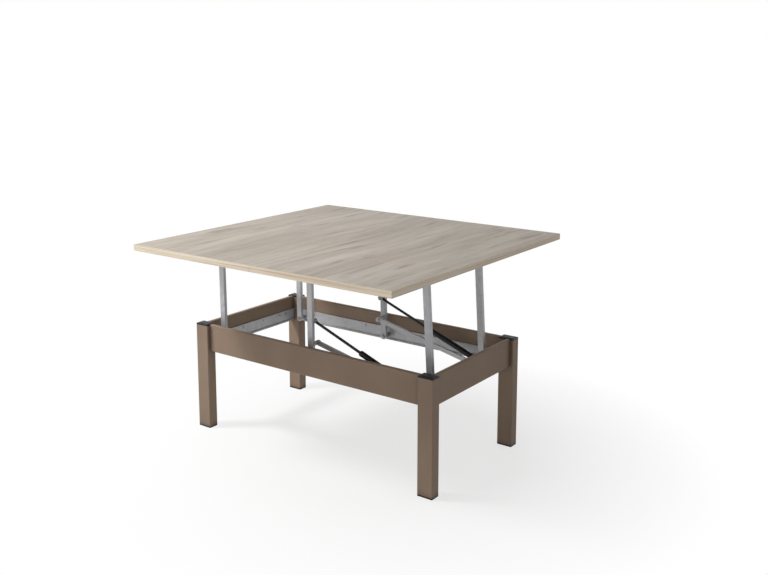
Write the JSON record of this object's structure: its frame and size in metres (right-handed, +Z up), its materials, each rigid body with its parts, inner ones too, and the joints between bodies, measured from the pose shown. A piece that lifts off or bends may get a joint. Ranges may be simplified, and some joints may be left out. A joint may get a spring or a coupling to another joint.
{
  "type": "convertible coffee dining table",
  "caption": "Low steel frame table whose oak-decor top lifts on gas-sprung arms, turns on a swivel and opens like a book, from coffee table to square dining table.",
  "frame": {"origin": "on the floor under the middle of the frame and of the open top", "axes": "+X along the frame's long side towards the open flap, +Y towards the back long side, +Z up"},
  "size_m": [1.1444, 1.094, 0.76],
  "materials": {
    "frame_paint": "taupe satin powder coat",
    "black_plastic": "moulded, fine texture",
    "grey_steel": "silver grey paint",
    "zinc_steel": "zinc plated",
    "oak_top": "grey oak decor, matt",
    "oak_edge": "light oak edge band",
    "hinge_brass": "turned",
    "spring_black": "black enamel",
    "spring_rod_steel": "black nitrided rod",
    "slide_plastic": "natural nylon",
    "rubber_pad": "soft rubber"
  },
  "bodies": {
    "base": {"leg_front_left": "frame_paint", "leg_front_right": "frame_paint", "leg_back_left": "frame_paint", "leg_back_right": "frame_paint", "cap_front_left": "black_plastic", "cap_front_right": "black_plastic", "cap_back_left": "black_plastic", "cap_back_right": "black_plastic", "foot_front_left": "black_plastic", "foot_front_right": "black_plastic", "foot_back_left": "black_plastic", "foot_back_right": "black_plastic", "apron_front": "frame_paint", "apron_back": "frame_paint", "apron_left": "frame_paint", "apron_right": "frame_paint", "base_rail_front": "grey_steel", "base_rail_back": "grey_steel", "base_rail_left": "grey_steel", "base_rail_right": "grey_steel", "base_rail_screws": "grey_steel", "lower_pivot_studs": "zinc_steel", "lower_pivot_spacers": "zinc_steel", "spring_brackets": "grey_steel", "prop_brackets": "grey_steel", "prop_pivot_bolts": "zinc_steel"},
    "left_arms": {"left_arm_front": "grey_steel", "left_arm_back": "grey_steel"},
    "mid_arms": {"mid_arm_front": "grey_steel", "mid_arm_back": "grey_steel", "link_studs": "zinc_steel"},
    "carriage": {"carriage_rail_front": "grey_steel", "carriage_rail_back": "grey_steel", "carriage_crossbar_left": "grey_steel", "carriage_crossbar_right": "grey_steel", "upper_pivot_bolts": "zinc_steel", "glide_pads": "slide_plastic", "swivel_beam": "grey_steel", "swivel_ring": "slide_plastic"},
    "base_leaf": {"base_leaf_board": "oak_top", "base_leaf_edging": "oak_edge", "base_leaf_hinge_barrels": "hinge_brass", "swivel_plate": "grey_steel", "swivel_bolt_and_nut": "zinc_steel", "swivel_screws": "zinc_steel"},
    "flap_leaf": {"flap_leaf_board": "oak_top", "flap_leaf_edging": "oak_edge", "flap_leaf_hinge_barrels": "hinge_brass"},
    "props": {"prop_front": "grey_steel", "prop_back": "grey_steel", "prop_cranks": "grey_steel", "prop_crossbar": "grey_steel", "prop_pads": "rubber_pad"},
    "links": {"link_front": "grey_steel", "link_back": "grey_steel", "crank_pins": "zinc_steel"},
    "spring_cylinders": {"spring_cylinder_front": "spring_black", "spring_cylinder_back": "spring_black"},
    "spring_rods": {"spring_rod_front": "spring_rod_steel", "spring_rod_back": "spring_rod_steel"}
  },
  "joints": [
    {"name": "lift", "type": "hinge", "parent": "base", "child": "mid_arms", "pos_m": [-0.018, 0, 0.33], "axis": [0, 1, 0], "range_deg": [0, 83.5]},
    {"name": "left_arm_swing", "type": "hinge", "parent": "base", "child": "left_arms", "pos_m": [-0.457, 0, 0.33], "axis": [0, 1, 0], "range_deg": [0, 83.5]},
    {"name": "carriage_level", "type": "hinge", "parent": "mid_arms", "child": "carriage", "pos_m": [-0.02252, 0, 0.69997], "axis": [0, 1, 0], "range_deg": [-83.5, 0]},
    {"name": "top_swivel", "type": "hinge", "parent": "carriage", "child": "base_leaf", "pos_m": [-0.3289, 0.0427, 0.732], "axis": [0, 0, 1], "range_deg": [-90, 0]},
    {"name": "leaf_fold", "type": "hinge", "parent": "base_leaf", "child": "flap_leaf", "pos_m": [0, 0, 0.76015], "axis": [0, -1, 0], "range_deg": [0, 180]},
    {"name": "prop_swing", "type": "hinge", "parent": "base", "child": "props", "pos_m": [0.461, 0, 0.345], "axis": [0, 1, 0], "range_deg": [-94.96, 0]},
    {"name": "link_swing", "type": "hinge", "parent": "mid_arms", "child": "links", "pos_m": [-0.01893, 0, 0.40599], "axis": [0, 1, 0], "range_deg": [-90.75, 0]},
    {"name": "spring_tilt", "type": "hinge", "parent": "base", "child": "spring_cylinders", "pos_m": [0.404, 0, 0.328], "axis": [0, 1, 0], "range_deg": [-16.12, 0]},
    {"name": "spring_slide", "type": "slide", "parent": "spring_cylinders", "child": "spring_rods", "axis": [-0.9341, 0, 0.3569], "range_m": [-0.18967, 0]}
  ],
  "couplings": [
    {"joint": "left_arm_swing", "follows": "lift", "ratio": 1},
    {"joint": "carriage_level", "follows": "lift", "ratio": -1},
    {"joint": "prop_swing", "follows": "lift", "ratio": -1.1373},
    {"joint": "link_swing", "follows": "lift", "ratio": -1.0868},
    {"joint": "spring_tilt", "follows": "lift", "ratio": -0.19309},
    {"joint": "spring_slide", "follows": "lift", "m_per_rad": -0.13014}
  ]
}
